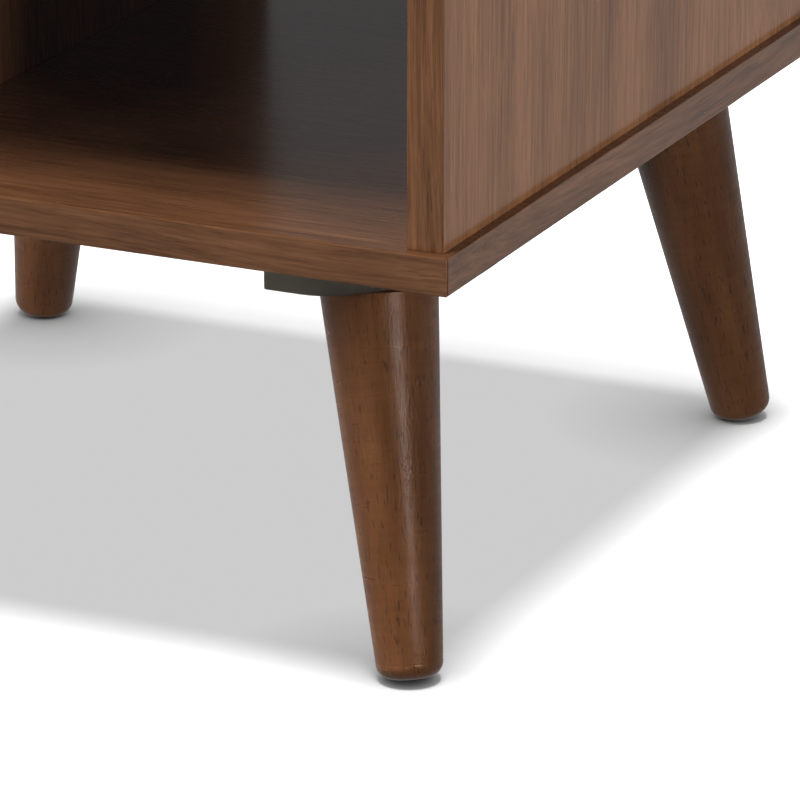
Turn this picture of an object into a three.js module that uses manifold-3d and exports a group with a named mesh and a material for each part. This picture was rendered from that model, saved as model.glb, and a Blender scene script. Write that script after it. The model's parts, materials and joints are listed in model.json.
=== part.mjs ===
// Nightstand: two drawers over an open cubby and a narrow book slot, on four tapered, splayed legs.
// Millimetres, +Z up, front towards -Y, origin on the floor at the middle of the bounding box.
import * as THREE from "three";
import { mergeVertices } from "three/addons/utils/BufferGeometryUtils.js";
import Module from "manifold-3d";

const wasm = await Module();
wasm.setup();

// Case
const WIDTH = 400; // top and bottom boards
const DEPTH = 400; // top and bottom boards
const HEIGHT = 600;
const BOARD = 15; // laminated particle board
const LEDGE_FRONT = 5.5; // top and bottom boards past the case front
const LEDGE_SIDE = 4; // top and bottom boards past the case sides
const LEDGE_REAR = 12; // top and bottom boards past the case rear
const CUBBY_HEIGHT = 150;
const CUBBY_WIDTH = 245; // the rest of the bottom tier is the book slot
const BACK_THICKNESS = 4;
const BACK_INSET = 6; // back panel in from the outer faces of the sides

// Legs
const LEG_HEIGHT = 168; // floor to the bottom board
const LEG_INSET = 55.5; // leg axis in from both edges, at the bottom board
const LEG_SPLAY = 28.5; // how far the foot stands out in x and in y
const LEG_TOP_RADIUS = 24.4;
const LEG_FOOT_RADIUS = 13.2;
const FOOT_ROUNDING = 6;
const PLATE_SIZE = 68.3;
const PLATE_INSET = 16.2; // from both board edges
const PLATE_THICKNESS = 13;
const PLATE_CORNER_CUT = 42.6; // outer corner taken off at 45 degrees
const PLATE_ROUNDING = 10; // where the cut meets the sides
const PLATE_EASING = 1.5; // at the other corners
const BOLT_RADIUS = 4;
const BOLT_LENGTH = 40;
const BOLT_TOP = 2; // below the bottom board
const PAD_RADIUS = 5.5;
const PAD_THICKNESS = 1.2;

// Drawers
const FRONT_GAP = 2; // round each drawer front
const FRONT_SPACING = 3; // between the two fronts
const BOX_WALL = 12;
const BOX_HEIGHT = 86;
const BOX_LENGTH = 320;
const BOX_RAISE = 12; // box sides above the front's lower edge
const BOTTOM_THICKNESS = 3.2;
const BOTTOM_RAISE = 6; // drawer bottom above the lower edge of the sides
const GROOVE_DEPTH = 5;
const KNOB_LENGTH = 25.5;
const KNOB_STEPS = 16;
const KNOB_HOLE_DEPTH = 15;
const KNOB_SCREW_RADIUS = 2;
const KNOB_SCREW_HEAD_RADIUS = 4.5;
const KNOB_SCREW_HEAD_HEIGHT = 2.6;

// Drawer slides
const SLIDE_SPACE = 13; // between a drawer box and the case side
const SLIDE_LENGTH = 300;
const SLIDE_SETBACK = 4; // slide's front end behind the drawer front
const SLIDE_HEIGHT = 35;
const SLIDE_METAL = 1.2;
const BALL_GAP = 1.6; // room for the balls between two members
const CASE_MEMBER_FLANGE = 9;
const MIDDLE_MEMBER_FLANGE = 7.2;
const MIDDLE_MEMBER_STANDOFF = 3; // middle member's web off the case side
const DRAWER_MEMBER_FLANGE = 6;

// Cam locks
const CAM_RADIUS = 7.2;
const CAM_THICKNESS = 12;
const CAM_FROM_END = 34; // cam centre to the end of its board
const CAM_FROM_EDGE = 60; // cam centre to the front or rear edge
const CAM_SLOT = { length: 9, width: 1.6, depth: 2 };

const GAP = 0.3; // between pieces where one is cut to hold the other
const SIDES = 20; // of a round piece
const SMALL_SIDES = 14; // of a bolt, a screw or its hole

// Places that follow from the sizes above
const CASE_FRONT = -DEPTH / 2 + LEDGE_FRONT;
const CASE_REAR = DEPTH / 2 - LEDGE_REAR;
const CASE_DEPTH = CASE_REAR - CASE_FRONT;
const CASE_HALF = WIDTH / 2 - LEDGE_SIDE;
const INNER_HALF = CASE_HALF - BOARD;
const FLOOR_Z = LEG_HEIGHT + BOARD; // cubby floor
const SHELF_Z = FLOOR_Z + CUBBY_HEIGHT;
const BAY_Z = SHELF_Z + BOARD; // drawer bay floor
const CEILING_Z = HEIGHT - BOARD;
const FRONT_HEIGHT = (CEILING_Z - BAY_Z - 2 * FRONT_GAP - FRONT_SPACING) / 2;
const BOX_HALF = INNER_HALF - SLIDE_SPACE;
// The knobs stand in front of the boards, so the case sits back to keep the origin in the middle.
const CASE_SHIFT = (KNOB_LENGTH - LEDGE_FRONT) / 2;

const finish = (color, roughness, metalness = 0) => () =>
  new THREE.MeshStandardMaterial({ color, roughness, metalness });
const laminate = finish(0x6b4f3c, 0.45);
const stainedWood = finish(0x5a3824, 0.35);
const boxBoard = finish(0xcdb892, 0.6);
const hardboard = finish(0xb79a70, 0.7);
const greyPlastic = finish(0x3f3b38, 0.5);
const blackFelt = finish(0x151414, 0.9);
const zinc = finish(0xb4b8bb, 0.35, 0.9);
const steel = finish(0x8f9295, 0.4, 0.9);

// Solids and cuts
function solidOf(geometry) {
  const bare = geometry.index ? geometry.toNonIndexed() : geometry.clone();
  bare.deleteAttribute("normal");
  bare.deleteAttribute("uv");
  const merged = mergeVertices(bare, 1e-4);
  return new wasm.Manifold(
    new wasm.Mesh({
      numProp: 3,
      vertProperties: merged.attributes.position.array,
      triVerts: new Uint32Array(merged.index.array),
    }),
  );
}

function geometryOf(solid) {
  const mesh = solid.getMesh();
  const geometry = new THREE.BufferGeometry();
  const position = new THREE.BufferAttribute(new Float32Array(mesh.vertProperties), 3);
  geometry.setAttribute("position", position);
  geometry.setIndex(new THREE.BufferAttribute(new Uint32Array(mesh.triVerts), 1));
  geometry.computeVertexNormals();
  return geometry;
}

function cut(geometry, tools) {
  let solid = solidOf(geometry);
  for (const tool of tools) solid = solid.subtract(solidOf(tool));
  return geometryOf(solid);
}

function block(low, high) {
  const size = high.map((value, axis) => value - low[axis]);
  const middle = high.map((value, axis) => (value + low[axis]) / 2);
  return new THREE.BoxGeometry(...size).translate(...middle);
}

function add(parent, name, geometry, material, x = 0, y = 0, z = 0) {
  const mesh = new THREE.Mesh(geometry, material());
  mesh.name = name;
  mesh.position.set(x, y, z);
  parent.add(mesh);
  return mesh;
}

// A closed outline in x and z, drawn out along +Y.
function alongY(points, length) {
  const shape = new THREE.Shape(points.map(([x, z]) => new THREE.Vector2(x, z)));
  const geometry = new THREE.ExtrudeGeometry(shape, { depth: length, bevelEnabled: false });
  return geometry.rotateX(Math.PI / 2).translate(0, length, 0);
}

// An outline of corners [x, y, reach], each rounded over its reach.
function roundedOutline(corners) {
  const points = corners.map(([x, y]) => new THREE.Vector2(x, y));
  const shape = new THREE.Shape();
  points.forEach((corner, index) => {
    const before = points.at(index - 1);
    const after = points[(index + 1) % points.length];
    const reach = corners[index][2];
    const enter = corner.clone().add(before.clone().sub(corner).setLength(reach));
    const leave = corner.clone().add(after.clone().sub(corner).setLength(reach));
    if (index === 0) shape.moveTo(enter.x, enter.y);
    else shape.lineTo(enter.x, enter.y);
    shape.quadraticCurveTo(corner.x, corner.y, leave.x, leave.y);
  });
  return shape;
}

function latheOf(points, sides) {
  return new THREE.LatheGeometry(points.map(([r, y]) => new THREE.Vector2(r, y)), sides);
}

// Cam locks: a slotted zinc disc in a blind bore, with its face flush with the board.
function camBore(y, z) {
  const radius = CAM_RADIUS + GAP;
  const bore = new THREE.CylinderGeometry(radius, radius, 2 * (CAM_THICKNESS + GAP), SIDES);
  return bore.rotateZ(Math.PI / 2).translate(0, y, z);
}

// side is the sign of x in which the disc goes into its board.
function camGeometry(side) {
  const disc = new THREE.CylinderGeometry(CAM_RADIUS, CAM_RADIUS, CAM_THICKNESS, SIDES);
  disc.rotateZ(Math.PI / 2).translate((side * CAM_THICKNESS) / 2, 0, 0);
  const { length, width, depth } = CAM_SLOT;
  const upright = new THREE.BoxGeometry(2 * depth, width, length);
  const level = new THREE.BoxGeometry(2 * depth, length, width);
  return cut(disc, [upright, level]);
}

// Case boards, each with its own origin at the middle of its lower or inner face.
function makeCase(parent) {
  const sheet = block([-WIDTH / 2, -DEPTH / 2, 0], [WIDTH / 2, DEPTH / 2, BOARD]);
  add(parent, "bottom_panel", sheet, laminate, 0, 0, LEG_HEIGHT);
  add(parent, "top_panel", sheet.clone(), laminate, 0, 0, CEILING_Z);

  const camRows = [CASE_FRONT + CAM_FROM_EDGE, CASE_REAR - CAM_FROM_EDGE];
  const camEnds = { lower: FLOOR_Z + CAM_FROM_END, upper: CEILING_Z - CAM_FROM_END };
  for (const [name, side] of [["left", -1], ["right", 1]]) {
    const xs = [0, side * BOARD].sort((a, b) => a - b);
    const board = block([xs[0], CASE_FRONT, FLOOR_Z], [xs[1], CASE_REAR, CEILING_Z]);
    const bores = Object.values(camEnds).flatMap((z) => camRows.map((y) => camBore(y, z)));
    const inner = side * INNER_HALF;
    add(parent, `${name}_side_panel`, cut(board, bores), laminate, inner);
    for (const [end, z] of Object.entries(camEnds))
      camRows.forEach((y, row) => {
        const cam = `${name}_${end}_${row ? "rear" : "front"}_cam`;
        add(parent, cam, camGeometry(side), zinc, inner, y, z);
      });
  }

  const shelf = block([-INNER_HALF, CASE_FRONT, 0], [INNER_HALF, CASE_REAR, BOARD]);
  add(parent, "shelf_panel", shelf, laminate, 0, 0, SHELF_Z);

  // The partition between the book slot and the cubby has its cams on the slot side.
  const slotFace = INNER_HALF - CUBBY_WIDTH - BOARD;
  const divider = block([0, CASE_FRONT, FLOOR_Z], [BOARD, CASE_REAR, SHELF_Z]);
  const dividerBores = camRows.map((y) => camBore(y, camEnds.lower));
  add(parent, "partition_panel", cut(divider, dividerBores), laminate, slotFace);
  camRows.forEach((y, row) => {
    const cam = `partition_${row ? "rear" : "front"}_cam`;
    add(parent, cam, camGeometry(1), zinc, slotFace, y, camEnds.lower);
  });

  // The back panel closes the drawer bay only: the cubby and the slot are open at the rear.
  const backHalf = CASE_HALF - BACK_INSET;
  const back = block(
    [-backHalf, 0, SHELF_Z + GAP],
    [backHalf, BACK_THICKNESS, CEILING_Z - GAP],
  );
  add(parent, "back_panel", back, laminate, 0, CASE_REAR);
}

// One leg corner, made for the front right: +x and -y point out of the case. Its origin is the
// place where the leg's axis meets the bottom board.
const LEG_AXIS = new THREE.Vector3(LEG_SPLAY, -LEG_SPLAY, -LEG_HEIGHT);
const AXIS_LENGTH = LEG_AXIS.length();
const AXIS_DIRECTION = LEG_AXIS.clone().normalize();

function turnToLegAxis(geometry) {
  const down = new THREE.Vector3(0, -1, 0);
  return geometry.applyQuaternion(new THREE.Quaternion().setFromUnitVectors(down, AXIS_DIRECTION));
}

function boltHole() {
  const radius = BOLT_RADIUS + GAP;
  const hole = new THREE.CylinderGeometry(radius, radius, 2 * (BOLT_LENGTH + 1), SMALL_SIDES);
  return turnToLegAxis(hole);
}

function legGeometry() {
  const sole = -AXIS_LENGTH + PAD_THICKNESS + GAP;
  const soleRadius = LEG_FOOT_RADIUS - FOOT_ROUNDING;
  const profile = [[0, sole]];
  for (let step = 0; step <= 4; step++) {
    const angle = (step / 4) * (Math.PI / 2);
    profile.push([
      soleRadius + FOOT_ROUNDING * Math.sin(angle),
      sole + FOOT_ROUNDING * (1 - Math.cos(angle)),
    ]);
  }
  profile.push([LEG_TOP_RADIUS, 0], [0, 0]);
  const cone = solidOf(turnToLegAxis(latheOf(profile, 2 * SIDES)));
  // The top is flat against the plate and the sole is flat against its pad.
  const top = -PLATE_THICKNESS - GAP;
  const floor = -LEG_HEIGHT + PAD_THICKNESS + GAP;
  const reach = LEG_HEIGHT;
  const between = solidOf(block([-reach, -reach, floor], [reach, reach, top]));
  return geometryOf(cone.intersect(between).subtract(solidOf(boltHole())));
}

function plateGeometry() {
  const outer = LEG_INSET - PLATE_INSET;
  const inner = PLATE_SIZE - outer;
  const shape = roundedOutline([
    [-inner, -outer, PLATE_EASING],
    [outer - PLATE_CORNER_CUT, -outer, PLATE_ROUNDING],
    [outer, PLATE_CORNER_CUT - outer, PLATE_ROUNDING],
    [outer, inner, PLATE_EASING],
    [-inner, inner, PLATE_EASING],
  ]);
  const options = { depth: PLATE_THICKNESS, bevelEnabled: false, curveSegments: 4 };
  const plate = new THREE.ExtrudeGeometry(shape, options).translate(0, 0, -PLATE_THICKNESS);
  return cut(plate, [boltHole()]);
}

function makeLegCorner(parent, name, turn) {
  const corner = new THREE.Group();
  const out = new THREE.Vector2(WIDTH / 2 - LEG_INSET, LEG_INSET - DEPTH / 2);
  out.rotateAround(new THREE.Vector2(), turn);
  corner.position.set(out.x, out.y, LEG_HEIGHT);
  corner.rotation.z = turn;
  parent.add(corner);

  add(corner, `${name}_leg`, legGeometry(), stainedWood);
  add(corner, `${name}_leg_plate`, plateGeometry(), greyPlastic);

  const tip = BOLT_RADIUS / 2;
  const bolt = [[0, -BOLT_LENGTH], [tip, -BOLT_LENGTH], [BOLT_RADIUS, tip - BOLT_LENGTH]];
  bolt.push([BOLT_RADIUS, -BOLT_TOP], [0, -BOLT_TOP]);
  add(corner, `${name}_hanger_bolt`, turnToLegAxis(latheOf(bolt, SMALL_SIDES)), steel);

  // The leg leans outwards, so it stands on the inner half of its sole, where the pad is.
  const inward = -PAD_RADIUS / Math.SQRT2;
  const pad = new THREE.CylinderGeometry(PAD_RADIUS, PAD_RADIUS, PAD_THICKNESS, SIDES);
  pad.rotateX(Math.PI / 2);
  const padZ = -LEG_HEIGHT + PAD_THICKNESS / 2;
  const x = LEG_SPLAY + inward;
  add(corner, `${name}_foot_pad`, pad, blackFelt, x, -x, padZ);
}

// Ball-bearing slide: three nested channels. side is the sign of x towards the case side.
function channel(side, web, flange, height, length) {
  const open = Math.sign(flange);
  const outline = [
    [0, -height / 2],
    [flange, -height / 2],
    [flange, -height / 2 + SLIDE_METAL],
    [open * SLIDE_METAL, -height / 2 + SLIDE_METAL],
    [open * SLIDE_METAL, height / 2 - SLIDE_METAL],
    [flange, height / 2 - SLIDE_METAL],
    [flange, height / 2],
    [0, height / 2],
  ];
  return alongY(outline.map(([x, z]) => [side * (web + x), z]), length);
}

function makeSlide(parent, name, side, y, z) {
  const step = 2 * (SLIDE_METAL + BALL_GAP);
  const members = {
    case_member: [INNER_HALF, -CASE_MEMBER_FLANGE, SLIDE_HEIGHT],
    middle_member: [INNER_HALF - MIDDLE_MEMBER_STANDOFF, -MIDDLE_MEMBER_FLANGE, SLIDE_HEIGHT - step],
    drawer_member: [BOX_HALF + GAP, DRAWER_MEMBER_FLANGE, SLIDE_HEIGHT - 2 * step],
  };
  for (const [member, [web, flange, height]] of Object.entries(members))
    add(parent, `${name}_${member}`, channel(side, web, flange, height, SLIDE_LENGTH), zinc, 0, y, z);
}

// One drawer. Its origin is at the front face, on the lower edge, at mid width.
function makeDrawer(parent, name, z) {
  const drawer = new THREE.Group();
  drawer.position.set(0, CASE_FRONT, z);
  parent.add(drawer);

  const sideTop = BOX_RAISE + BOX_HEIGHT;
  const grooveLow = BOX_RAISE + BOTTOM_RAISE - GAP;
  const grooveHigh = grooveLow + BOTTOM_THICKNESS + 2 * GAP;
  const innerHalf = BOX_HALF - BOX_WALL;
  const middle = FRONT_HEIGHT / 2;

  const frontHalf = INNER_HALF - FRONT_GAP;
  const front = block([-frontHalf, 0, 0], [frontHalf, BOARD, FRONT_HEIGHT]);
  const grooveHalf = innerHalf + GROOVE_DEPTH;
  const groove = block(
    [-grooveHalf, BOARD - GROOVE_DEPTH, grooveLow],
    [grooveHalf, BOARD + GROOVE_DEPTH, grooveHigh],
  );
  const holeRadius = KNOB_SCREW_RADIUS + GAP;
  const knobHole = new THREE.CylinderGeometry(holeRadius, holeRadius, 4 * BOARD, SMALL_SIDES);
  knobHole.translate(0, 0, middle);
  add(drawer, `${name}_front`, cut(front, [groove, knobHole]), laminate);

  for (const [sideName, side] of [["left", -1], ["right", 1]]) {
    const outline = [
      [BOX_HALF, BOX_RAISE],
      [BOX_HALF, sideTop],
      [innerHalf, sideTop],
      [innerHalf, grooveHigh],
      [grooveHalf, grooveHigh],
      [grooveHalf, grooveLow],
      [innerHalf, grooveLow],
      [innerHalf, BOX_RAISE],
    ].map(([x, height]) => [side * x, height]);
    add(drawer, `${name}_${sideName}_side`, alongY(outline, BOX_LENGTH), boxBoard, 0, BOARD);
    const slideY = BOARD + SLIDE_SETBACK;
    makeSlide(drawer, `${name}_${sideName}_slide`, side, slideY, BOX_RAISE + BOX_HEIGHT / 2);
  }

  const rear = BOARD + BOX_LENGTH;
  const back = block([-innerHalf, rear - BOX_WALL, grooveHigh], [innerHalf, rear, sideTop]);
  add(drawer, `${name}_back`, back, boxBoard);

  const bottomHalf = grooveHalf - GAP;
  const bottomLow = grooveLow + GAP;
  const bottom = block(
    [-bottomHalf, BOARD - GROOVE_DEPTH + GAP, bottomLow],
    [bottomHalf, rear, bottomLow + BOTTOM_THICKNESS],
  );
  add(drawer, `${name}_bottom`, bottom, hardboard);

  // Turned knob on the front face, pulled up by a screw from inside the drawer.
  const turned = new THREE.SplineCurve([
    new THREE.Vector2(13, -KNOB_LENGTH), // rim of the face
    new THREE.Vector2(16.5, -21.5), // widest
    new THREE.Vector2(10.5, -14),
    new THREE.Vector2(8.2, -6), // neck
    new THREE.Vector2(9.5, 0), // foot
  ]).getPoints(KNOB_STEPS);
  const knob = [[0, -KNOB_LENGTH], ...turned.map((point) => point.toArray())];
  knob.push([holeRadius, 0], [holeRadius, -KNOB_HOLE_DEPTH], [0, -KNOB_HOLE_DEPTH]);
  add(drawer, `${name}_knob`, latheOf(knob, 2 * SMALL_SIDES), stainedWood, 0, 0, middle);

  const screwTip = 2 - KNOB_HOLE_DEPTH;
  const screw = [[0, screwTip], [KNOB_SCREW_RADIUS, screwTip], [KNOB_SCREW_RADIUS, BOARD]];
  screw.push([KNOB_SCREW_HEAD_RADIUS, BOARD], [0, BOARD + KNOB_SCREW_HEAD_HEIGHT]);
  add(drawer, `${name}_knob_screw`, latheOf(screw, SMALL_SIDES), steel, 0, 0, middle);
}

const nightstand = new THREE.Group();
nightstand.position.y = CASE_SHIFT;
makeCase(nightstand);
const corners = ["front_right", "rear_right", "rear_left", "front_left"];
corners.forEach((name, index) => makeLegCorner(nightstand, name, (index * Math.PI) / 2));
makeDrawer(nightstand, "lower_drawer", BAY_Z + FRONT_GAP);
makeDrawer(nightstand, "upper_drawer", BAY_Z + FRONT_GAP + FRONT_HEIGHT + FRONT_SPACING);

export default nightstand;
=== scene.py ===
"""Nightstand with two drawers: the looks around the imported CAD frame.

Metres, +Z up, front towards -Y. Places come from the CAD nodes' boxes.
"""

import json
import math

import bmesh
import bpy
from mathutils import Matrix, Vector

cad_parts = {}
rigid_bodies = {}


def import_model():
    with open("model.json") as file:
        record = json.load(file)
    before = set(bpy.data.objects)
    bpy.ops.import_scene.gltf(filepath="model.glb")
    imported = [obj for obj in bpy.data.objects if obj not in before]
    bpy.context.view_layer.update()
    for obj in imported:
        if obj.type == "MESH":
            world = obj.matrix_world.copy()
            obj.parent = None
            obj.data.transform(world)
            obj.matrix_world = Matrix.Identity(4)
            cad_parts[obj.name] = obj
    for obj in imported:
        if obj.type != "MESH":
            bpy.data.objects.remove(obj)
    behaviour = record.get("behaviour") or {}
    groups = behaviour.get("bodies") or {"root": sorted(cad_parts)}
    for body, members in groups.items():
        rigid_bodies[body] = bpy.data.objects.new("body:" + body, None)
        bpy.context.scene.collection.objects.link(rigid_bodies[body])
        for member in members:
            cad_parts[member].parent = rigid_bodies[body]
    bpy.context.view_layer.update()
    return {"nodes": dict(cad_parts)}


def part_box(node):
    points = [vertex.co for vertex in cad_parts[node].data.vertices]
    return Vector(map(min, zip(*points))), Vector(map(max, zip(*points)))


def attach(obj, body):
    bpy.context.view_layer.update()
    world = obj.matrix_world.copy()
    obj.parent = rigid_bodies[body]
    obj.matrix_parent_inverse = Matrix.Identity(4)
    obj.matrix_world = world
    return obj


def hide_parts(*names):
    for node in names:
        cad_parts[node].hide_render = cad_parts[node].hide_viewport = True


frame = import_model()

MM = 0.001
X, Y, Z = 0, 1, 2

# Edge bands
BAND = 0.8 * MM  # thickness
BAND_ARRIS = 0.35 * MM
BAND_GAP = 0.6 * MM  # open joint at the corners, where two bands meet
CORE_ARRIS = 0.12 * MM

# Legs: the same cone as the CAD legs
LEG_TOP_RADIUS = 24.4 * MM
LEG_FOOT_RADIUS = 13.2 * MM
FOOT_ROUNDING = 6 * MM
FOOT_RING = 0.06 * MM  # depth of the turned line where the rounding starts
LEG_SEGMENTS = 128

# Hardware
PLATE_SCREW_RADIUS = 3.7 * MM
SLIDE_METAL = 1.2 * MM
BALL_RADIUS = 0.78 * MM

LARGE_FACE = 1e-4  # square metres


# ---------------------------------------------------------------- mesh helpers


def new_object(name, bm, material, smooth=True, sharp_deg=35):
    """A mesh object from bm, in the row frame, with smooth faces and edges sharp past an angle.

    Large faces are flat ones and are shaded flat, so that their eased edges don't bend their normals.
    """
    bmesh.ops.recalc_face_normals(bm, faces=bm.faces)
    limit = math.radians(sharp_deg)
    for face in bm.faces:
        face.smooth = smooth and face.calc_area() < LARGE_FACE
    for edge in bm.edges:
        if len(edge.link_faces) == 2:
            edge.smooth = edge.calc_face_angle(0) < limit
    mesh = bpy.data.meshes.new(name)
    bm.to_mesh(mesh)
    bm.free()
    mesh.materials.append(material)
    obj = bpy.data.objects.new(name, mesh)
    bpy.context.scene.collection.objects.link(obj)
    return obj


def slab(low, high, arris, segments=3):
    """A board or strip with every edge eased by arris."""
    bm = bmesh.new()
    bmesh.ops.create_cube(bm, size=1)
    size = Vector(high) - Vector(low)
    middle = (Vector(high) + Vector(low)) / 2
    bmesh.ops.transform(bm, matrix=Matrix.Translation(middle) @ Matrix.Diagonal((*size, 1)), verts=bm.verts)
    bmesh.ops.bevel(
        bm, geom=bm.edges[:], offset=arris, segments=segments, profile=0.5, affect="EDGES", clamp_overlap=True
    )
    return bm


def lathe(profile, segments):
    """Turns (radius, height) points about Z. The first and last points lie on the axis."""
    bm = bmesh.new()
    rings = []
    for radius, height in profile:
        if radius < 1e-7:
            rings.append([bm.verts.new((0, 0, height))])
            continue
        angles = [2 * math.pi * k / segments for k in range(segments)]
        rings.append([bm.verts.new((radius * math.cos(a), radius * math.sin(a), height)) for a in angles])
    for lower, upper in zip(rings, rings[1:]):
        for k in range(segments):
            corners = [lower[k % len(lower)], lower[(k + 1) % len(lower)]]
            corners += [upper[(k + 1) % len(upper)], upper[k % len(upper)]]
            bm.faces.new(list(dict.fromkeys(corners)))
    return bm


def prism(outline, start, length, to_place):
    """Draws a closed outline of 2D points out along its third axis, from start, and places it."""
    bm = bmesh.new()
    base = [bm.verts.new((u, v, start)) for u, v in outline]
    face = bm.faces.new(base)
    moved = bmesh.ops.extrude_face_region(bm, geom=[face])["geom"]
    tops = [v for v in moved if isinstance(v, bmesh.types.BMVert)]
    bmesh.ops.translate(bm, verts=tops, vec=(0, 0, length))
    bmesh.ops.transform(bm, matrix=to_place, verts=bm.verts)
    return bm


def rounded(points, reaches, steps=5):
    """The outline through points, with each corner turned into an arc-like curve of its reach."""
    out = []
    for k, (corner, reach) in enumerate(zip(points, reaches)):
        corner = Vector(corner)
        before = Vector(points[k - 1]) - corner
        after = Vector(points[(k + 1) % len(points)]) - corner
        enter = corner + before.normalized() * min(reach, before.length / 2)
        leave = corner + after.normalized() * min(reach, after.length / 2)
        for step in range(steps + 1):
            t = step / steps
            out.append(enter * (1 - t) ** 2 + corner * (2 * t * (1 - t)) + leave * t**2)
    return out


def ease(bm, offset, segments=2, above_deg=40):
    """Bevels the edges that turn by more than an angle."""
    limit = math.radians(above_deg)
    edges = [e for e in bm.edges if len(e.link_faces) == 2 and e.calc_face_angle(0) > limit]
    bmesh.ops.bevel(
        bm, geom=edges, offset=offset, segments=segments, profile=0.5, affect="EDGES", clamp_overlap=True
    )


def joined(parts):
    """One bmesh that holds several."""
    whole = bmesh.new()
    for part in parts:
        mesh = bpy.data.meshes.new("part")
        part.to_mesh(mesh)
        part.free()
        whole.from_mesh(mesh)
        bpy.data.meshes.remove(mesh)
    return whole


# ------------------------------------------------------------- node helpers


class Shading:
    """A material with one Principled shader, and a short way to add and link its nodes."""

    def __init__(self, name, **settings):
        self.material = bpy.data.materials.new(name)
        self.material.use_nodes = True
        self.nodes = self.material.node_tree.nodes
        self.links = self.material.node_tree.links
        self.shader = self.nodes["Principled BSDF"]
        for socket, value in settings.items():
            self.shader.inputs[socket.replace("_", " ")].default_value = value

    def add(self, kind, inputs=None, **settings):
        node = self.nodes.new("ShaderNode" + kind)
        for name, value in settings.items():
            setattr(node, name, value)
        for socket, value in (inputs or {}).items():
            self.feed(node.inputs[socket], value)
        return node

    def feed(self, socket, value):
        if isinstance(value, bpy.types.NodeSocket):
            self.links.new(value, socket)
        else:
            socket.default_value = value

    def math(self, operation, a, b=0.0, clamp=False):
        return self.add("Math", {0: a, 1: b}, operation=operation, use_clamp=clamp).outputs[0]

    def span(self, value, low, high, to_low=0.0, to_high=1.0):
        """value mapped from low..high to to_low..to_high, smoothly and clamped."""
        inputs = {"Value": value, "From Min": low, "From Max": high, "To Min": to_low, "To Max": to_high}
        return self.add("MapRange", inputs, interpolation_type="SMOOTHSTEP").outputs[0]

    def mix(self, factor, a, b, blend="MIX"):
        node = self.add("Mix", data_type="RGBA", blend_type=blend)
        self.feed(node.inputs[0], factor)
        self.feed(node.inputs[6], a)
        self.feed(node.inputs[7], b)
        return node.outputs[2]

    def ramp(self, value, stops):
        node = self.add("ValToRGB", {0: value})
        while len(node.color_ramp.elements) < len(stops):
            node.color_ramp.elements.new(0.5)
        for element, (place, color) in zip(node.color_ramp.elements, stops):
            element.position = place
            element.color = (*color, 1)
        return node.outputs[0]

    def place(self, scale, offset=(0, 0, 0), own=None):
        """Object coordinates, taken into a piece's own frame if there is one, then scaled and moved."""
        where = self.add("TexCoord").outputs["Object"]
        if own is not None:
            inputs = {"Vector": where, "Location": own.to_translation(), "Rotation": own.to_euler()}
            where = self.add("Mapping", inputs, vector_type="TEXTURE").outputs[0]
        return self.add("Mapping", {"Vector": where, "Location": offset, "Scale": scale}).outputs[0]

    def noise(self, vector, scale=1.0, detail=2.0, rough=0.5, distortion=0.0):
        inputs = {"Vector": vector, "Scale": scale, "Detail": detail, "Roughness": rough, "Distortion": distortion}
        return self.add("TexNoise", inputs).outputs[0]

    def color(self, value):
        self.feed(self.shader.inputs["Base Color"], value)

    def roughness(self, value):
        self.feed(self.shader.inputs["Roughness"], value)

    def bump(self, height, distance, strength=1.0):
        node = self.add("Bump", {"Height": height, "Distance": distance, "Strength": strength})
        self.links.new(node.outputs[0], self.shader.inputs["Normal"])
        return node


def along(grain, lengthwise, crosswise):
    """A scale vector, with one value along the grain axis and another across it."""
    return tuple(lengthwise if axis == grain else crosswise for axis in (X, Y, Z))


# ------------------------------------------------------------------ materials

LAMINATE_DARK = (0.080, 0.031, 0.013)
LAMINATE_MID = (0.165, 0.069, 0.030)
LAMINATE_LIGHT = (0.255, 0.114, 0.053)


def laminate(name, grain, seed, contrast=1.0, tint=(1, 1, 1)):
    """Printed walnut: broad soft streaks, wandering growth lines, fine fibres and short dark pores."""
    s = Shading(name, Specular_IOR_Level=0.3)
    offset = tuple(seed * step for step in (0.37, 0.53, 0.71))
    wander = s.noise(s.place(along(grain, 2.2, 7.0), offset), detail=1.0)
    push = s.math("MULTIPLY", s.math("SUBTRACT", wander, 0.5), 0.05)
    base = s.place((1, 1, 1), offset)
    shift = s.add("CombineXYZ", {axis: push for axis in (X, Y, Z) if axis != grain}).outputs[0]
    moved = s.add("VectorMath", {0: base, 1: shift}, operation="ADD").outputs[0]

    def layer(lengthwise, crosswise, detail, rough=0.5):
        scaled = s.add("VectorMath", {0: moved, 1: along(grain, lengthwise, crosswise)}, operation="MULTIPLY")
        return s.noise(scaled.outputs[0], detail=detail, rough=rough)

    streaks = layer(2.0, 26.0, 2.0)
    lines = layer(6.0, 230.0, 4.0, 0.65)
    fibres = layer(22.0, 620.0, 3.0, 0.7)
    pores = s.span(layer(75.0, 1500.0, 1.0), 0.60, 0.70)

    tone = s.math("MULTIPLY", s.math("SUBTRACT", streaks, 0.5), 1.10 * contrast)
    tone = s.math("ADD", tone, s.math("MULTIPLY", s.math("SUBTRACT", lines, 0.5), 0.85 * contrast))
    tone = s.math("ADD", tone, s.math("MULTIPLY", s.math("SUBTRACT", fibres, 0.5), 1.30 * contrast))
    tone = s.math("ADD", tone, 0.5)
    stops = [(0.0, LAMINATE_DARK), (0.5, LAMINATE_MID), (1.0, LAMINATE_LIGHT)]
    wood = s.ramp(tone, stops)
    # A tint other than white is painted light: it lightens the side panels' laminate.
    wood = s.mix(1.0, wood, (*tint, 1), "MULTIPLY")
    wood = s.mix(s.math("MULTIPLY", pores, 0.30 * contrast), wood, (0.032, 0.013, 0.006, 1))
    s.color(wood)
    s.roughness(s.span(fibres, 0.2, 0.8, 0.23, 0.17))
    relief = s.math("SUBTRACT", fibres, s.math("MULTIPLY", pores, 0.8))
    s.bump(relief, 0.03 * MM, 0.3)
    return s.material


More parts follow.
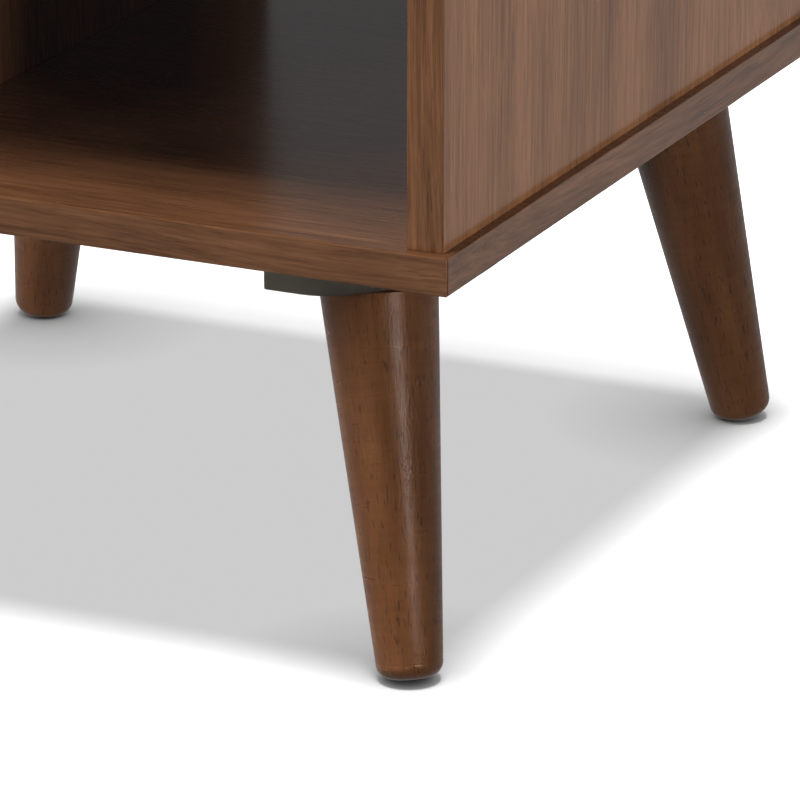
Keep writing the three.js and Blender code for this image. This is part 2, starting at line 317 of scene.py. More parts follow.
def stained_wood(name, seed, own):
    """Solid wood under stain and satin lacquer, with its grain along the Z of the piece's own frame."""
    s = Shading(name, Specular_IOR_Level=0.22)
    offset = tuple(seed * step for step in (0.31, 0.47, 0.83))

    def layer(lengthwise, crosswise, detail=2.0, rough=0.55, distortion=0.0):
        return s.noise(s.place(along(Z, lengthwise, crosswise), offset, own), 1.0, detail, rough, distortion)

    clouds = layer(9.0, 26.0, 3.0, 0.6)
    lines = layer(9.0, 230.0, 3.0, 0.6)
    fibres = layer(60.0, 1100.0, 2.0)
    curl = layer(330.0, 60.0, 2.0)
    pores = s.span(layer(150.0, 1150.0, 1.0), 0.62, 0.69)

    tone = s.math("MULTIPLY", s.math("SUBTRACT", clouds, 0.5), 1.5)
    tone = s.math("ADD", tone, s.math("MULTIPLY", s.math("SUBTRACT", lines, 0.5), 0.55))
    tone = s.math("ADD", tone, s.math("MULTIPLY", s.math("SUBTRACT", fibres, 0.5), 0.35))
    tone = s.math("ADD", tone, s.math("MULTIPLY", s.math("SUBTRACT", curl, 0.5), 0.35))
    tone = s.math("ADD", tone, 0.5)
    stops = [(0.0, (0.075, 0.026, 0.009)), (0.45, (0.140, 0.054, 0.020)), (1.0, (0.235, 0.098, 0.040))]
    wood = s.ramp(tone, stops)
    wood = s.mix(s.math("MULTIPLY", pores, 0.55), wood, (0.018, 0.008, 0.004, 1))
    s.color(wood)
    s.roughness(s.span(curl, 0.2, 0.8, 0.36, 0.26))
    grit = s.span(layer(500.0, 1300.0, 2.0), 0.40, 0.60)
    relief = s.math("SUBTRACT", s.math("MULTIPLY", s.math("ADD", fibres, s.math("MULTIPLY", grit, 1.6)), 0.35), pores)
    s.bump(relief, 0.09 * MM, 0.6)
    return s.material


def foil_board(name, grain, color, seed):
    """Light printed foil on particle board, for the drawer boxes."""
    s = Shading(name, Roughness=0.5)
    offset = (seed, 0.4 * seed, 0.7 * seed)
    lines = s.noise(s.place(along(grain, 6.0, 170.0), offset), detail=3.0)
    fibres = s.noise(s.place(along(grain, 45.0, 1200.0), offset), detail=2.0)
    tone = s.math("ADD", s.math("MULTIPLY", lines, 0.7), s.math("MULTIPLY", fibres, 0.3))
    dark = tuple(0.74 * c for c in color)
    light = tuple(1.12 * c for c in color)
    s.color(s.ramp(tone, [(0.25, dark), (0.75, light)]))
    s.roughness(s.span(fibres, 0.2, 0.8, 0.56, 0.44))
    s.bump(fibres, 0.05 * MM, 0.5)
    return s.material


def hardboard(name):
    """Thin hardboard: pressed fibres with faint flecks."""
    s = Shading(name, Roughness=0.62)
    flecks = s.noise(s.place((900, 260, 900)), detail=4.0, rough=0.7)
    clouds = s.noise(s.place((14, 14, 14)), detail=2.0)
    tone = s.math("ADD", s.math("MULTIPLY", flecks, 0.6), s.math("MULTIPLY", clouds, 0.4))
    s.color(s.ramp(tone, [(0.3, (0.33, 0.235, 0.14)), (0.7, (0.50, 0.385, 0.245))]))
    s.bump(flecks, 0.08 * MM, 0.6)
    return s.material


def moulded_plastic(name, color):
    """Dark moulded plastic with a fine spark-eroded texture and faint flow clouds."""
    s = Shading(name, Roughness=0.46, Specular_IOR_Level=0.25)
    grain = s.noise(s.place((1400, 1400, 1400)), detail=2.0)
    flow = s.noise(s.place((40, 40, 40)), detail=3.0)
    dark = tuple(0.82 * c for c in color)
    light = tuple(1.18 * c for c in color)
    s.color(s.ramp(flow, [(0.3, dark), (0.7, light)]))
    s.roughness(s.span(grain, 0.25, 0.75, 0.40, 0.54))
    s.bump(grain, 0.07 * MM, 0.5)
    return s.material


def felt(name):
    """Black pressed felt: tangled fibres."""
    s = Shading(name, Roughness=0.95, Sheen_Weight=0.3)
    fibres = s.noise(s.place((1800, 1800, 1800)), detail=5.0, rough=0.75, distortion=1.5)
    s.color(s.ramp(fibres, [(0.3, (0.006, 0.006, 0.006)), (0.75, (0.035, 0.033, 0.032))]))
    s.bump(fibres, 0.25 * MM, 0.9)
    return s.material


def metal(name, color, rough, grain=None):
    """Zinc-plated or cast metal. With a grain axis it has rolling marks along that axis."""
    s = Shading(name, Metallic=1.0)
    scale = (420, 420, 420) if grain is None else along(grain, 14, 1500)
    marks = s.noise(s.place(scale), detail=3.0, rough=0.6)
    clouds = s.noise(s.place((55, 55, 55)), detail=3.0)
    tone = s.math("ADD", s.math("MULTIPLY", marks, 0.35), s.math("MULTIPLY", clouds, 0.65))
    dark = tuple(0.80 * c for c in color)
    light = tuple(1.10 * c for c in color)
    s.color(s.ramp(tone, [(0.3, dark), (0.7, light)]))
    s.roughness(s.span(tone, 0.3, 0.7, rough * 1.25, rough * 0.85))
    s.bump(marks, 0.03 * MM, 0.5)
    return s.material


# -------------------------------------------------------------------- boards

SIDES = {"left": (X, -1), "right": (X, 1), "front": (Y, -1), "rear": (Y, 1), "lower": (Z, -1), "upper": (Z, 1)}


def cut_back(low, high, side, by):
    """The box low..high with one side moved in by a distance."""
    axis, sign = SIDES[side]
    low, high = Vector(low), Vector(high)
    if sign < 0:
        low[axis] += by
    else:
        high[axis] -= by
    return low, high


def banded_board(node, body, grain, bands, seed, tint=(1, 1, 1), contrast=1.0):
    """A laminated core with an edge band on each named side. Bands named first run past the others' ends."""
    low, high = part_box(node)
    core_low, core_high = low, high
    for side in bands:
        core_low, core_high = cut_back(core_low, core_high, side, BAND)
    face = laminate(f"{node}_laminate", grain, seed, contrast, tint)
    core = new_object(f"{node}_core", slab(core_low, core_high, CORE_ARRIS, 2), face)
    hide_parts(node)
    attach(core, body)
    for order, side in enumerate(bands):
        axis, sign = SIDES[side]
        strip_low, strip_high = Vector(low), Vector(high)
        if sign < 0:
            strip_high[axis] = low[axis] + BAND
        else:
            strip_low[axis] = high[axis] - BAND
        for earlier in bands[:order]:
            if SIDES[earlier][0] != axis:
                strip_low, strip_high = cut_back(strip_low, strip_high, earlier, BAND + BAND_GAP)
        size = strip_high - strip_low
        lengthwise = max((X, Y, Z), key=lambda a: size[a])
        skin = laminate(f"{node}_{side}_band_laminate", lengthwise, seed + 1.7 * (order + 1), 1.15, tint)
        strip = new_object(f"{node}_{side}_band", slab(strip_low, strip_high, BAND_ARRIS), skin)
        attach(strip, body)


SIDE_PAINTED_LIGHT = (1.28, 1.32, 1.30)  # a lighter copy of the laminate for the side panels and their bands: painted light for the lit right side


def make_boards():
    banded_board("bottom_panel", "case", X, ["front", "rear", "left", "right"], 1)
    banded_board("top_panel", "case", X, ["front", "rear", "left", "right"], 2)
    banded_board("right_side_panel", "case", Z, ["front", "rear"], 3, SIDE_PAINTED_LIGHT)
    banded_board("left_side_panel", "case", Z, ["front", "rear"], 4, SIDE_PAINTED_LIGHT)
    banded_board("shelf_panel", "case", X, ["front", "rear"], 5)
    banded_board("partition_panel", "case", Z, ["front", "rear"], 6)
    for drawer, seed in (("lower_drawer", 8), ("upper_drawer", 9)):
        banded_board(f"{drawer}_front", drawer, X, ["upper", "lower", "left", "right"], seed)


def carried_over(node, material, arris=None):
    """A CAD node that stays as it is, with eased edges and a material of its own."""
    obj = frame["nodes"][node]
    obj.data.materials.clear()
    obj.data.materials.append(material)
    if arris:
        bevel = obj.modifiers.new("eased edges", "BEVEL")
        bevel.width = arris
        bevel.segments = 2
        bevel.limit_method = "ANGLE"
        bevel.angle_limit = math.radians(40)
    return obj


# ---------------------------------------------------------------------- legs

LEG_INSET = 55.5 * MM  # leg axis in from both board edges
LEG_SPLAY = 28.5 * MM  # how far the foot stands out in x and in y
PLATE_DROP = 13 * MM  # plate's thickness
SOLE_LIFT = 1.5 * MM  # sole above the floor, on its pad
CLEARANCE = 0.3 * MM

# Each corner's outward signs in x and y, and its quarter turns from the front right.
CORNERS = {
    "front_right": (1, -1, 0),
    "rear_right": (1, 1, 1),
    "rear_left": (-1, 1, 2),
    "front_left": (-1, -1, 3),
}


def leg_top(corner):
    """Where the leg's axis meets the bottom board's underside."""
    low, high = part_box("bottom_panel")
    out_x, out_y, _ = CORNERS[corner]
    x = high.x - LEG_INSET if out_x > 0 else low.x + LEG_INSET
    y = high.y - LEG_INSET if out_y > 0 else low.y + LEG_INSET
    return Vector((x, y, low.z))


def leg_profile(length):
    """Radius and height above the floor end of the axis: flat sole, rounded rim, turned line, taper."""
    points = [(0, SOLE_LIFT)]
    for step in range(9):
        angle = step / 8 * math.pi / 2
        radius = LEG_FOOT_RADIUS - FOOT_ROUNDING * (1 - math.sin(angle))
        points.append((radius, SOLE_LIFT + FOOT_ROUNDING * (1 - math.cos(angle))))
    start = SOLE_LIFT + FOOT_ROUNDING

    def taper(height):
        share = (height - start) / (length - start)
        return LEG_FOOT_RADIUS + share * (LEG_TOP_RADIUS - LEG_FOOT_RADIUS)

    for rise, depth in ((0.25, 0.3), (0.45, 1.0), (0.65, 0.3), (0.9, 0.0)):
        height = start + rise * MM
        points.append((taper(height) - depth * FOOT_RING, height))
    rows = 14
    for row in range(1, rows + 1):
        height = start + (length - start) * row / rows
        points.append((taper(height), height))
    points.append((0, length))
    return points


def make_leg(corner, seed):
    top = leg_top(corner)
    out_x, out_y, _ = CORNERS[corner]
    foot = Vector((top.x + out_x * LEG_SPLAY, top.y + out_y * LEG_SPLAY, 0))
    up = top - foot
    place = Matrix.Translation(foot) @ up.to_track_quat("Z", "Y").to_matrix().to_4x4()
    bm = lathe(leg_profile(up.length), LEG_SEGMENTS)
    to_local = place.inverted()
    seat = top.z - PLATE_DROP - CLEARANCE
    for height, keep_below in ((seat, True), (SOLE_LIFT, False)):
        middle = to_local @ Vector((foot.x, foot.y, height))
        normal = to_local.to_3x3() @ Vector((0, 0, 1 if keep_below else -1))
        everything = bm.verts[:] + bm.edges[:] + bm.faces[:]
        cut = bmesh.ops.bisect_plane(bm, geom=everything, plane_co=middle, plane_no=normal, clear_outer=True)
        rim = [e for e in cut["geom_cut"] if isinstance(e, bmesh.types.BMEdge)]
        if rim:
            bmesh.ops.contextual_create(bm, geom=rim)
    bmesh.ops.transform(bm, matrix=place, verts=bm.verts)
    leg = new_object(f"{corner}_turned_leg", bm, stained_wood(f"{corner}_leg_wood", seed, place))
    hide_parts(f"{corner}_leg")
    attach(leg, "case")


PLATE_OUTER = 39.3 * MM  # plate's reach from the leg's axis, outwards
PLATE_INNER = 29 * MM
PLATE_CORNER_CUT = 42.6 * MM
PLATE_ROUNDING = 10 * MM  # where the cut meets the sides
PLATE_EASING = 1.5 * MM  # at the other corners
PLATE_ARRIS = 0.6 * MM
PLATE_SCREWS = ((-21, -32), (32, 21), (-21, 21))  # millimetres from the leg's axis


def corner_place(corner):
    """From one leg corner's own frame, made for the front right, to the row frame."""
    turn = Matrix.Rotation(CORNERS[corner][2] * math.pi / 2, 4, "Z")
    return Matrix.Translation(leg_top(corner)) @ turn


def make_plate(corner, plastic, steel):
    outline = rounded(
        [
            (-PLATE_INNER, -PLATE_OUTER),
            (PLATE_OUTER - PLATE_CORNER_CUT, -PLATE_OUTER),
            (PLATE_OUTER, PLATE_CORNER_CUT - PLATE_OUTER),
            (PLATE_OUTER, PLATE_INNER),
            (-PLATE_INNER, PLATE_INNER),
        ],
        [PLATE_EASING, PLATE_ROUNDING, PLATE_ROUNDING, PLATE_EASING, PLATE_EASING],
    )
    place = corner_place(corner)
    bm = prism(outline, -PLATE_DROP, PLATE_DROP, place)
    ease(bm, PLATE_ARRIS, 3, 60)
    plate = new_object(f"{corner}_mounting_plate", bm, plastic)
    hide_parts(f"{corner}_leg_plate")
    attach(plate, "case")
    down = Matrix.Rotation(math.pi, 4, "X")
    heads = []
    for x, y in PLATE_SCREWS:
        spot = Matrix.Translation((x * MM, y * MM, -PLATE_DROP))
        heads.append(screw_head(PLATE_SCREW_RADIUS, 1.9 * MM, place @ spot @ down))
    screws = new_object(f"{corner}_plate_screws", joined(heads), steel)
    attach(screws, "case")


# ------------------------------------------------------------------ fasteners


def screw_head(radius, height, place, rings=9, segments=48):
    """A pan head with a cross recess, standing on its own z = 0 and placed."""
    profile = [(0, -0.4 * MM), (0.5 * radius, -0.4 * MM), (0.5 * radius, 0), (radius, 0), (radius, 0.3 * height)]
    for ring in range(1, rings + 1):
        angle = ring / rings * math.pi / 2
        profile.append((radius * math.cos(angle), height * (0.3 + 0.7 * math.sin(angle))))
    profile[-1] = (0, height)
    bm = lathe(profile, segments)
    arm, wide, deep = 0.62 * radius, 0.13 * radius, 0.55 * height
    for vert in bm.verts:
        across, along_arm = sorted((abs(vert.co.x), abs(vert.co.y)))
        if vert.co.z > 0.35 * height and across < wide and along_arm < arm:
            vert.co.z -= deep * (1 - 0.5 * along_arm / arm)
    bmesh.ops.transform(bm, matrix=place, verts=bm.verts)
    return bm


def facing(axis, sign):
    """Turns +Z to point along an axis."""
    target = Vector((0, 0, 0))
    target[axis] = sign
    return target.to_track_quat("Z", "Y").to_matrix().to_4x4()


# -------------------------------------------------------------------- drawers

KNOB_PROFILE = ((13, 25.5), (16.5, 21.5), (10.5, 14), (8.2, 6), (9.5, 0))  # radius, distance out, in mm
KNOB_DISH = 0.5 * MM


def smooth_curve(points, steps):
    """A Catmull-Rom curve through 2D points."""
    padded = [points[0], *points, points[-1]]
    out = []
    for k in range(1, len(padded) - 2):
        p0, p1, p2, p3 = (Vector(p) for p in padded[k - 1 : k + 3])
        for step in range(steps):
            t = step / steps
            out.append(
                0.5 * (2 * p1 + (p2 - p0) * t + (2 * p0 - 5 * p1 + 4 * p2 - p3) * t**2
                       + (3 * p1 - p0 - 3 * p2 + p3) * t**3)
            )
    out.append(Vector(points[-1]))
    return out


def make_knob(drawer, seed):
    low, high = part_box(f"{drawer}_knob")
    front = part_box(f"{drawer}_front")[0].y
    middle = Vector(((low.x + high.x) / 2, front, (low.z + high.z) / 2))
    curve = smooth_curve([(r * MM, out * MM) for r, out in KNOB_PROFILE], 8)
    face = curve[0]
    dish = [(share * face.x, face.y - KNOB_DISH * (1 - share**2)) for share in (0, 0.25, 0.5, 0.75, 0.92)]
    profile = [*dish, *((p.x, p.y) for p in curve), (0, 0)]
    bm = lathe(profile, 96)
    place = Matrix.Translation(middle) @ facing(Y, -1)
    bmesh.ops.transform(bm, matrix=place, verts=bm.verts)
    knob = new_object(f"{drawer}_turned_knob", bm, stained_wood(f"{drawer}_knob_wood", seed, place), sharp_deg=50)
    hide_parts(f"{drawer}_knob")
    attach(knob, drawer)


def make_knob_screw(drawer, steel):
    low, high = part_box(f"{drawer}_knob_screw")
    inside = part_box(f"{drawer}_front")[1].y
    middle_x, middle_z = (low.x + high.x) / 2, (low.z + high.z) / 2
    shaft_radius = 2 * MM
    shaft = lathe([(0, 0), (shaft_radius, 0), (shaft_radius, inside - low.y), (0, inside - low.y)], 32)
    turned = Matrix.Translation((middle_x, low.y, middle_z)) @ facing(Y, 1)
    bmesh.ops.transform(shaft, matrix=turned, verts=shaft.verts)
    place = Matrix.Translation((middle_x, inside, middle_z)) @ facing(Y, 1)
    head = screw_head((high.x - low.x) / 2, high.y - inside, place)
    screw = new_object(f"{drawer}_knob_bolt", joined([shaft, head]), steel)
    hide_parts(f"{drawer}_knob_screw")
    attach(screw, drawer)


def make_box_screws(drawer, steel):
    """Screws through the box sides into the back, two on each side."""
    heads = []
    back_low, back_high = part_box(f"{drawer}_back")
    for side_name, sign in (("left", -1), ("right", 1)):
        low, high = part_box(f"{drawer}_{side_name}_side")
        face_x = high.x if sign > 0 else low.x
        for share in (0.12, 0.88):
            z = back_low.z + share * (back_high.z - back_low.z)
            spot = Matrix.Translation((face_x, (back_low.y + back_high.y) / 2, z))
            heads.append(screw_head(3.2 * MM, 0.9 * MM, spot @ facing(X, sign)))
    screws = new_object(f"{drawer}_box_screws", joined(heads), steel)
    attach(screws, drawer)


def make_drawer(drawer, seed, finishes):
    sides = foil_board(f"{drawer}_side_foil", Y, (0.53, 0.42, 0.28), seed)
    for name in ("left_side", "right_side"):
        carried_over(f"{drawer}_{name}", sides, 0.5 * MM)
    back = foil_board(f"{drawer}_back_foil", X, (0.53, 0.42, 0.28), seed + 3)
    carried_over(f"{drawer}_back", back, 0.5 * MM)
    carried_over(f"{drawer}_bottom", finishes["hardboard"], 0.3 * MM)
    make_knob(drawer, seed + 0.4)
    make_knob_screw(drawer, finishes["steel"])
    make_box_screws(drawer, finishes["steel"])
    for side_name, sign in (("left", -1), ("right", 1)):
        make_slide(drawer, side_name, sign, finishes)


# --------------------------------------------------------------------- slides

BEND_OUTER = 2.0 * MM
BEND_INNER = 0.8 * MM
LIP = 0.35 * MM


def rolled_channel(name, node, web_sign, body, zinc):
    """A rolled steel channel: the CAD member's size, with real bends. web_sign is the web's side in x."""
    low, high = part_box(node)
    width, height = high.x - low.x, high.z - low.z
    metal_edge = SLIDE_METAL
    corners = [
        (0, 0, BEND_OUTER),
        (width, 0, LIP),
        (width, metal_edge, LIP),
        (metal_edge, metal_edge, BEND_INNER),
        (metal_edge, height - metal_edge, BEND_INNER),
        (width, height - metal_edge, LIP),
        (width, height, LIP),
        (0, height, BEND_OUTER),
    ]
    outline = rounded([(u, v) for u, v, _ in corners], [reach for _, _, reach in corners])
    web_x = high.x if web_sign > 0 else low.x
    place = Matrix(((-web_sign, 0, 0, web_x), (0, 0, 1, low.y), (0, 1, 0, low.z), (0, 0, 0, 1)))
    bm = prism(outline, 0, high.y - low.y, place)
    member = new_object(name, bm, zinc, sharp_deg=50)
    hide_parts(node)
    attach(member, body)
    return low, high


def ball_row(name, x, heights, start, end, body, steel):
    """Bearing balls in two rows, one above the other."""
    bm = bmesh.new()
    count = 12
    for z in heights:
        for k in range(count):
            y = start + (end - start) * k / (count - 1)
            spot = Matrix.Translation((x, y, z))
            bmesh.ops.create_uvsphere(bm, u_segments=16, v_segments=10, radius=BALL_RADIUS, matrix=spot)
    balls = new_object(name, bm, steel, sharp_deg=60)
    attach(balls, body)


def ball_cage(name, low, high, body, plastic):
    cage = new_object(name, slab(low, high, 0.2 * MM, 2), plastic)
    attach(cage, body)


def make_slide(drawer, side_name, sign, finishes):
    runners = drawer.replace("drawer", "runners")
    slide = f"{drawer}_{side_name}_slide"
    zinc, steel, plastic = finishes["zinc"], finishes["steel"], finishes["plastic"]
    outer = rolled_channel(f"{slide}_case_channel", f"{slide}_case_member", sign, "case", zinc)
    middle = rolled_channel(f"{slide}_middle_channel", f"{slide}_middle_member", sign, runners, zinc)
    inner = rolled_channel(f"{slide}_drawer_channel", f"{slide}_drawer_member", -sign, drawer, zinc)

    def overlap_x(a, b):
        return (max(a[0].x, b[0].x) + min(a[1].x, b[1].x)) / 2

    # The outer balls stay in the rear half of the middle member and the inner ones in its front half,
    # so both stay between their members over the whole travel.
    start, end = middle[0].y, middle[1].y
    half = (start + end) / 2
    margin = 10 * MM
    rows = (
        ("outer", outer, middle, half + margin, end - margin),
        ("inner", middle, inner, start + margin, half - margin),
    )
    for label, around, within, row_start, row_end in rows:
        gap = (around[1].z - SLIDE_METAL) - within[1].z
        heights = (within[1].z + gap / 2, within[0].z - gap / 2)
        ball_row(f"{slide}_{label}_balls", overlap_x(around, within), heights, row_start, row_end, runners, steel)

    cage_half = 0.25 * MM
    case_web = outer[1].x - SLIDE_METAL if sign > 0 else outer[0].x + SLIDE_METAL
    middle_web = middle[1].x if sign > 0 else middle[0].x
    cage_x = (case_web + middle_web) / 2
    inner_cage_x = middle_web - sign * (SLIDE_METAL + 1.0 * MM)
    for label, x, box, row_start, row_end in (
        ("outer", cage_x, middle, half + margin, end - margin),
        ("inner", inner_cage_x, inner, start + margin, half - margin),
    ):
        low = (x - cage_half, row_start - 4 * MM, box[0].z + 1 * MM)
        high = (x + cage_half, row_end + 4 * MM, box[1].z - 1 * MM)
        ball_cage(f"{slide}_{label}_cage", low, high, runners, plastic)

    web_face = inner[0].x + SLIDE_METAL if sign > 0 else inner[1].x - SLIDE_METAL
    z = (inner[0].z + inner[1].z) / 2
    heads = []
    for back in (35 * MM, 130 * MM, 265 * MM):
        spot = Matrix.Translation((web_face, inner[0].y + back, z))
        heads.append(screw_head(3.2 * MM, 1.1 * MM, spot @ facing(X, sign)))
    screws = new_object(f"{slide}_screws", joined(heads), steel)
    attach(screws, drawer)


# ------------------------------------------------------------------ the build


def make_back_panel(steel):
    carried_over("back_panel", laminate("back_panel_laminate", Z, 7), 0.35 * MM)
    low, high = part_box("back_panel")
    edge = 5 * MM
    nails = []
    spots = [(x, z) for z in (low.z + edge, high.z - edge) for x in (-0.15, -0.075, 0, 0.075, 0.15)]
    for x in (low.x + edge, high.x - edge):
        spots += [(x, low.z + share * (high.z - low.z)) for share in (0.04, 0.35, 0.65, 0.96)]
    for x, z in spots:
        place = Matrix.Translation((x, high.y, z)) @ facing(Y, 1)
        nails.append(nail_head(1.9 * MM, 0.45 * MM, place))
    heads = new_object("back_panel_nails", joined(nails), steel)
    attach(heads, "case")


def nail_head(radius, height, place):
    """A flat nail head with a rounded rim."""
    profile = [(0, -height), (0.4 * radius, -height), (0.4 * radius, 0), (0.94 * radius, 0), (radius, 0.3 * height)]
    profile += [(0.97 * radius, 0.75 * height), (0.85 * radius, height), (0, height)]
    bm = lathe(profile, 32)
    bmesh.ops.transform(bm, matrix=place, verts=bm.verts)
    return bm


def make_nightstand():
    finishes = {
        "steel": metal("screw_steel", (0.50, 0.51, 0.52), 0.34),
        "zinc": metal("slide_zinc", (0.58, 0.60, 0.62), 0.30, Y),
        "plastic": moulded_plastic("plate_plastic", (0.190, 0.170, 0.138)),
        "hardboard": hardboard("drawer_hardboard"),
    }
    make_boards()
    make_back_panel(finishes["steel"])
    for seed, corner in enumerate(CORNERS):
        make_leg(corner, 1 + seed)
        make_plate(corner, finishes["plastic"], finishes["steel"])
    for seed, drawer in enumerate(("lower_drawer", "upper_drawer")):
        make_drawer(drawer, 11 + seed, finishes)
    cast = metal("cam_zinc", (0.55, 0.56, 0.57), 0.5)
    pad = felt("foot_felt")
    for node in frame["nodes"]:
        if node.endswith("_cam"):
            carried_over(node, cast, 0.25 * MM)
        elif node.endswith("_hanger_bolt"):
            carried_over(node, finishes["steel"], 0.25 * MM)
        elif node.endswith("_foot_pad"):
            carried_over(node, pad, 0.3 * MM)


# ---------------------------------------------------------------------- stage

FLOOR_SHADE = 0.604  # how light the floor is under the nightstand
FLOOR_IN_GLOSS = 0.50  # its brightness in reflections
FLOOR_BOUNCE = 0.01  # and as a source of soft light from below
FLOOR_REACH = 30
TOWARD_LIGHT = (0.35, -0.6, 0.72)  # leans the painted contact shade to behind the feet


def make_floor():
    """A white floor with a glow of its own, lit only by the overhead sun: bright in the open, evenly grey under the
    nightstand, and darker where the feet touch, from painted shade in its glow.
    """
    bm = bmesh.new()
    bmesh.ops.create_grid(bm, x_segments=4, y_segments=4, size=FLOOR_REACH)
    s = Shading("floor_white", Roughness=0.9, Specular_IOR_Level=0.0)
    s.feed(s.shader.inputs["Base Color"], (0.05, 0.05, 0.05, 1))
    # Painted shade: ambient occlusion darkens the floor's glow around the feet.
    painted_contact = s.add("AmbientOcclusion", {"Distance": 0.07, "Normal": TOWARD_LIGHT}, samples=24)
    shade = s.math("POWER", painted_contact.outputs["AO"], 1.25)
    seen = s.add("Emission", {"Strength": s.math("MULTIPLY", shade, FLOOR_SHADE)})
    to_camera = s.add("AddShader", {0: seen.outputs[0], 1: s.shader.outputs[0]})
    path = s.add("LightPath")
    bounce = s.math("MULTIPLY", path.outputs["Is Diffuse Ray"], FLOOR_BOUNCE)
    gloss = s.math("MULTIPLY", path.outputs["Is Glossy Ray"], FLOOR_IN_GLOSS)
    unseen = s.add("Emission", {"Strength": s.math("ADD", bounce, gloss)})
    surface = s.add("MixShader", {0: path.outputs["Is Camera Ray"], 1: unseen.outputs[0], 2: to_camera.outputs[0]})
    s.links.new(surface.outputs[0], s.nodes["Material Output"].inputs["Surface"])
    floor = new_object("studio_floor", bm, s.material)
    return floor


def light_group(name, objects, state):
    """A collection for light linking that includes or leaves out some objects."""
    group = bpy.data.collections.new(name)
    for obj in objects:
        group.objects.link(obj)
    for item in group.collection_objects:
        item.light_linking.link_state = state
    return group


LIT_POINT = Vector((0.05, -0.08, 0.2))  # in the case's lower front, where the lights aim
STRIP_AZIMUTH = 55
STRIP_ELEVATION = 1.5


def toward(azimuth, elevation):
    """The direction to a light. Azimuth 0 is in front and 90 on the right."""
    a, e = math.radians(azimuth), math.radians(elevation)
    return Vector((math.sin(a) * math.cos(e), -math.cos(a) * math.cos(e), math.sin(e)))


def softbox(name, azimuth, elevation, distance, size, watts, color=(1, 1, 1)):
    """A soft area light aimed at the lit point. Gloss doesn't see it: the reflectors are there for that."""
    out = toward(azimuth, elevation)
    data = bpy.data.lights.new(name, "AREA")
    data.shape = "RECTANGLE"
    data.size, data.size_y = size
    data.energy = watts
    data.color = color
    light = bpy.data.objects.new(name, data)
    bpy.context.scene.collection.objects.link(light)
    light.location = LIT_POINT + distance * out
    light.rotation_euler = out.to_track_quat("Z", "Y").to_euler()
    light.visible_camera = False
    light.visible_glossy = False
    return light


def make_lights(floor):
    """The overhead sun lights only the floor and the softboxes only the nightstand.

    The right lights are flagged off the plates, which stand in the case's shade, and the side light off the
    legs too. The light behind is flagged off the cubby's floor and wall, which it would reach through the rear.
    """
    object_only = light_group("lit_object", [floor], "EXCLUDE")
    floor_only = light_group("lit_floor", [floor], "INCLUDE")
    legs = [obj for obj in bpy.data.objects if obj.name.endswith("_turned_leg")]
    plates = [obj for obj in bpy.data.objects if obj.name.endswith("_mounting_plate")]
    cubby = [obj for obj in bpy.data.objects if obj.name.startswith(("bottom_panel", "partition_panel"))]
    all_but_plates = light_group("lit_all_but_plates", [floor, *plates], "EXCLUDE")
    case_only = light_group("lit_case", [floor, *legs, *plates], "EXCLUDE")
    rear_only = light_group("lit_from_behind", [floor, *cubby], "EXCLUDE")

    overhead = bpy.data.lights.new("overhead", "SUN")
    overhead.energy = 75
    overhead.angle = math.radians(20.6)
    sun = bpy.data.objects.new("overhead", overhead)
    sun.rotation_euler = (math.radians(4.6), math.radians(1.7), 0)
    bpy.context.scene.collection.objects.link(sun)
    sun.light_linking.receiver_collection = floor_only

    boxes = [
        softbox("key", -30, 71, 2.4, (0.7, 0.7), 40),
        softbox("left_fill", -65, 25, 2.4, (0.8, 0.8), 25),
        softbox("left_low", -32, 8, 2.4, (0.7, 0.3), 16),
    ]
    for box in boxes:
        box.light_linking.receiver_collection = object_only
    right_low = softbox("right_low", 64, 13, 2.4, (0.6, 0.25), 24)
    right_low.light_linking.receiver_collection = all_but_plates
    side = softbox("right_side", 104, 3, 2.4, (0.8, 0.4), 22)
    side.light_linking.receiver_collection = case_only
    behind = softbox("rear_fill", -160, 10, 2.4, (0.8, 0.6), 24)
    behind.light_linking.receiver_collection = rear_only


def reflector(name, place, half_width, half_height, glow):
    """A glowing panel that only gloss sees, facing along the Z of its place."""
    bm = bmesh.new()
    bmesh.ops.create_grid(bm, x_segments=2, y_segments=2, size=1.0)
    sized = place @ Matrix.Diagonal((half_width, half_height, 1, 1))
    bmesh.ops.transform(bm, matrix=sized, verts=bm.verts)
    s = Shading(f"{name}_glow")
    s.material.cycles.emission_sampling = "NONE"  # found by reflected rays alone
    emission = s.add("Emission", {"Strength": glow})
    s.links.new(emission.outputs[0], s.nodes["Material Output"].inputs["Surface"])
    panel = new_object(name, bm, s.material)
    panel.visible_camera = False
    panel.visible_diffuse = False
    panel.visible_shadow = False


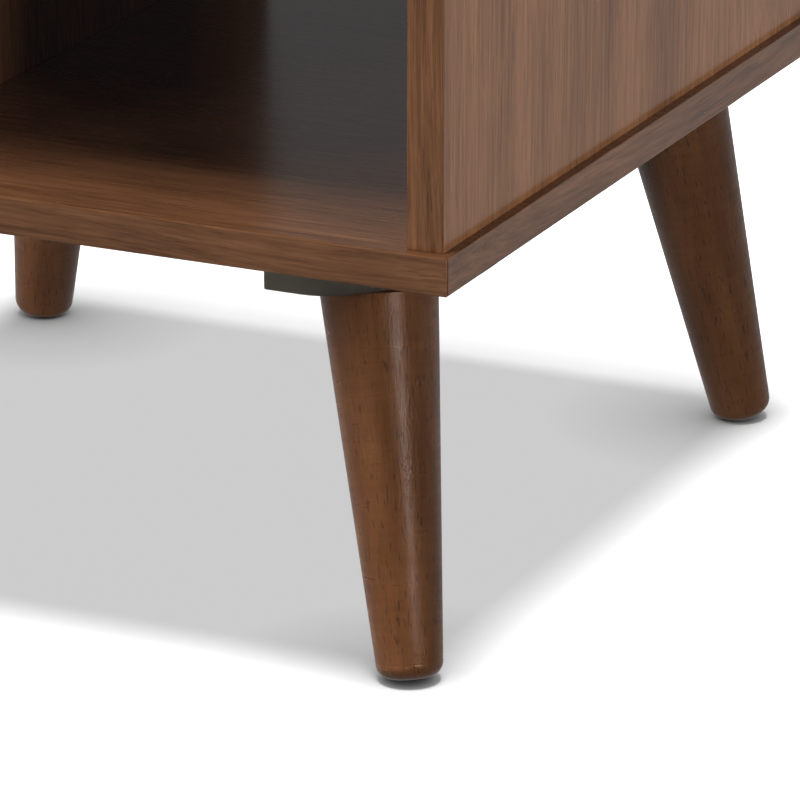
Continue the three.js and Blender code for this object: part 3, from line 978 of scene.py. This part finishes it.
def make_reflectors():
    """One behind shines through the open cubby onto its floor. A narrow one draws the line of light on the legs."""
    behind = Matrix.Translation((0.0, 2.2, 1.15)) @ facing(Y, -1)
    reflector("studio_backdrop", behind, 1.5, 1.1, 0.24)
    out = toward(STRIP_AZIMUTH, STRIP_ELEVATION)
    place = Matrix.Translation(LIT_POINT + 2.2 * out) @ out.to_track_quat("Z", "Y").to_matrix().to_4x4()
    turned = place @ Matrix.Rotation(math.pi, 4, "Y")
    reflector("studio_strip", turned, 0.21, 0.25, 24)


WORLD_BOUNCE = 0.004  # as a source of soft light, and in reflections
WORLD_IN_GLOSS = 0.12


def make_world():
    """White to the camera and dim to everything else."""
    world = bpy.data.worlds.new("studio")
    bpy.context.scene.world = world
    world.use_nodes = True
    nodes, links = world.node_tree.nodes, world.node_tree.links
    path = nodes.new("ShaderNodeLightPath")
    strength = WORLD_BOUNCE
    for ray, value in (("Is Glossy Ray", WORLD_IN_GLOSS), ("Is Camera Ray", 1.0)):
        choice = nodes.new("ShaderNodeMix")
        links.new(path.outputs[ray], choice.inputs[0])
        if isinstance(strength, bpy.types.NodeSocket):
            links.new(strength, choice.inputs[2])
        else:
            choice.inputs[2].default_value = strength
        choice.inputs[3].default_value = value
        strength = choice.outputs[0]
    background = nodes["Background"]
    background.inputs["Color"].default_value = (1, 1, 1, 1)
    links.new(strength, background.inputs["Strength"])


CAMERA_YAW = 24.89  # degrees to the right of the front
CAMERA_PITCH = 19.02  # degrees down
CAMERA_LENS = 273.4
CAMERA_FROM_CORNER = (0.893, -1.966, 0.704)  # from the bottom board's lower front right corner


def make_camera():
    low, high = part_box("bottom_panel")
    data = bpy.data.cameras.new("camera")
    data.lens = CAMERA_LENS
    data.sensor_width = 36
    camera = bpy.data.objects.new("camera", data)
    camera.location = Vector((high.x, low.y, low.z)) + Vector(CAMERA_FROM_CORNER)
    camera.rotation_euler = (math.radians(90 - CAMERA_PITCH), 0, math.radians(CAMERA_YAW))
    bpy.context.scene.collection.objects.link(camera)
    bpy.context.scene.camera = camera


make_camera()
make_nightstand()
studio_floor = make_floor()
make_lights(studio_floor)
make_reflectors()
make_world()
bpy.context.scene.view_settings.view_transform = "Standard"
